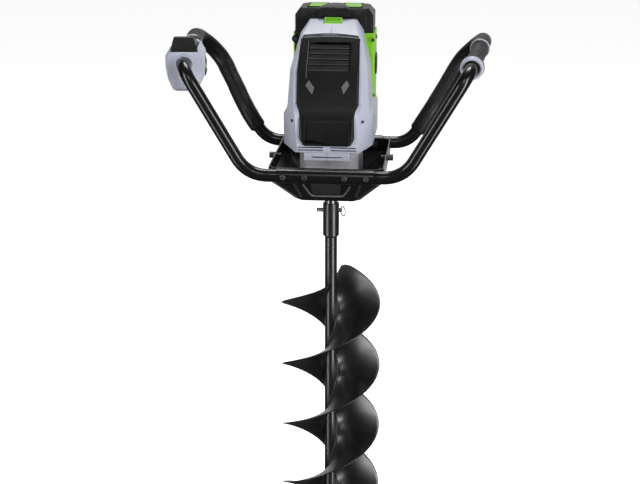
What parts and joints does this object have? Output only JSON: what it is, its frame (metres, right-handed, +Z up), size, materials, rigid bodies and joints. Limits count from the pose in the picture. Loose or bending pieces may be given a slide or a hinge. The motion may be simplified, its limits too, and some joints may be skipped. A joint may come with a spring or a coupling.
{
  "type": "ice fishing auger",
  "caption": "Battery ice auger: louvred powerhead over a twin-start bit, on a bent-tube frame with a throttle housing, rubber grips, foam-padded rear legs and a removable battery.",
  "frame": {"origin": "centre of the hitch pin hole, on the auger axis", "axes": "+Z up along the auger axis, -Y towards the front with the louvred cover, +X towards the plain right-hand grip, -X towards the throttle"},
  "size_m": [0.6301, 0.3923, 1.3195],
  "materials": {
    "tube_black": "gloss powder coat",
    "tray_black": "satin powder coat",
    "bolt_black": "black oxide",
    "cast_aluminium": "as cast",
    "machined_steel": "ground",
    "spindle_steel": "phosphated",
    "seal_rubber": "matte",
    "motor_metal": "satin",
    "lamination_steel": "varnished",
    "copper_wire": "enamelled",
    "rotor_dark": "satin",
    "fan_black": "matte",
    "board_green": "solder mask",
    "shell_grey": "fine spark texture",
    "cover_black": "satin moulded",
    "louvre_black": "satin moulded",
    "grille_black": "ribbed",
    "bay_green": "satin moulded",
    "vent_black": "satin moulded",
    "latch_green": "semi gloss",
    "battery_black": "satin moulded",
    "cell_wrap": "shrink wrap",
    "insert_green": "semi gloss",
    "throttle_grey": "fine spark texture",
    "cap_black": "satin moulded",
    "trigger_black": "semi gloss",
    "rocker_black": "semi gloss",
    "grip_rubber": "knurled",
    "collar_grey": "fine spark texture",
    "pad_foam": "closed cell foam skin",
    "bit_black": "gloss powder coat",
    "blade_steel": "ground edge",
    "screw_zinc": "zinc plated",
    "pin_zinc": "zinc plated"
  },
  "bodies": {
    "frame": {"tube_left": "tube_black", "tube_right": "tube_black", "front_sleeve": "tube_black", "rear_sleeve": "tube_black", "frame_bolts": "bolt_black", "base_tray": "tray_black", "gearbox_housing": "cast_aluminium", "bearing_plate": "cast_aluminium", "gearbox_cover": "cast_aluminium", "gearbox_screws": "bolt_black", "gearbox_bearings": "machined_steel", "oil_seal": "seal_rubber", "motor_case": "motor_metal", "motor_stator": "lamination_steel", "motor_windings": "copper_wire", "motor_bearings": "machined_steel", "controller": "board_green", "shell_left": "shell_grey", "shell_right": "shell_grey", "front_cover": "cover_black", "louvre_panel": "louvre_black", "lower_grille": "grille_black", "bay_shell_left": "bay_green", "bay_shell_right": "bay_green", "battery_dock": "fan_black", "side_vents": "vent_black", "shell_screws": "bolt_black", "throttle_shell_outer": "throttle_grey", "throttle_shell_inner": "throttle_grey", "throttle_cap": "cap_black", "trigger_pin": "machined_steel", "trigger_spring": "machined_steel", "throttle_switch": "fan_black", "grip_left": "grip_rubber", "grip_right": "grip_rubber", "collar_right": "collar_grey", "rear_collars": "collar_grey", "pad_left": "pad_foam", "pad_right": "pad_foam"},
    "output": {"output_spindle": "spindle_steel", "output_gear": "machined_steel", "bit_shaft": "bit_black", "flight_a": "bit_black", "flight_b": "bit_black", "blade_seats": "bit_black", "cutting_blades": "blade_steel", "blade_screws": "screw_zinc", "centre_point": "blade_steel"},
    "layshaft": {"layshaft": "machined_steel"},
    "rotor": {"motor_rotor": "rotor_dark", "cooling_fan": "fan_black"},
    "hitch_pin": {"hitch_pin": "pin_zinc"},
    "pin_ring": {"pin_ring": "pin_zinc"},
    "battery": {"battery_case": "battery_black", "battery_cells": "cell_wrap", "battery_inserts": "insert_green"},
    "battery_latch": {"battery_latch": "latch_green"},
    "trigger": {"trigger": "trigger_black"},
    "rocker": {"rocker_switch": "rocker_black"},
    "lock_button": {"lock_button": "rocker_black"}
  },
  "joints": [
    {"name": "output_spin", "type": "hinge", "parent": "frame", "child": "output", "pos_m": [0, 0, 0], "axis": [0, 0, 1], "continuous": true},
    {"name": "layshaft_spin", "type": "hinge", "parent": "frame", "child": "layshaft", "pos_m": [0, 0.054, 0.08], "axis": [0, 0, 1], "continuous": true},
    {"name": "rotor_spin", "type": "hinge", "parent": "frame", "child": "rotor", "pos_m": [0, 0.0165, 0.18], "axis": [0, 0, 1], "continuous": true},
    {"name": "pin_pull", "type": "slide", "parent": "output", "child": "hitch_pin", "axis": [1, 0, 0], "range_m": [0, 0.05]},
    {"name": "ring_flip", "type": "hinge", "parent": "hitch_pin", "child": "pin_ring", "pos_m": [0.0195, 0, 0], "axis": [0, 0, 1], "range_deg": [-30, 135]},
    {"name": "battery_slide", "type": "slide", "parent": "frame", "child": "battery", "axis": [0, 0, 1], "range_m": [0, 0.09]},
    {"name": "latch_press", "type": "slide", "parent": "frame", "child": "battery_latch", "axis": [0, 0, -1], "range_m": [0, 0.004], "stiffness_N_per_m": 900, "springref_m": -0.003},
    {"name": "trigger_squeeze", "type": "hinge", "parent": "frame", "child": "trigger", "pos_m": [-0.26167, -0.03363, 0.3369], "axis": [-0.9966, -0.0825, 0], "range_deg": [0, 11], "stiffness_Nm_per_rad": 0.4, "springref_deg": -8.59, "deforming": ["trigger_spring"]},
    {"name": "rocker_tip", "type": "hinge", "parent": "frame", "child": "rocker", "pos_m": [-0.24303, -0.06721, 0.3029], "axis": [-0.0825, 0.9966, 0], "range_deg": [-6, 6]},
    {"name": "lock_press", "type": "slide", "parent": "frame", "child": "lock_button", "axis": [0, 0, -1], "range_m": [0, 0.003], "stiffness_N_per_m": 600, "springref_m": -0.002}
  ],
  "couplings": [
    {"joint": "layshaft_spin", "follows": "output_spin", "ratio": -5},
    {"joint": "rotor_spin", "follows": "output_spin", "ratio": 20}
  ]
}
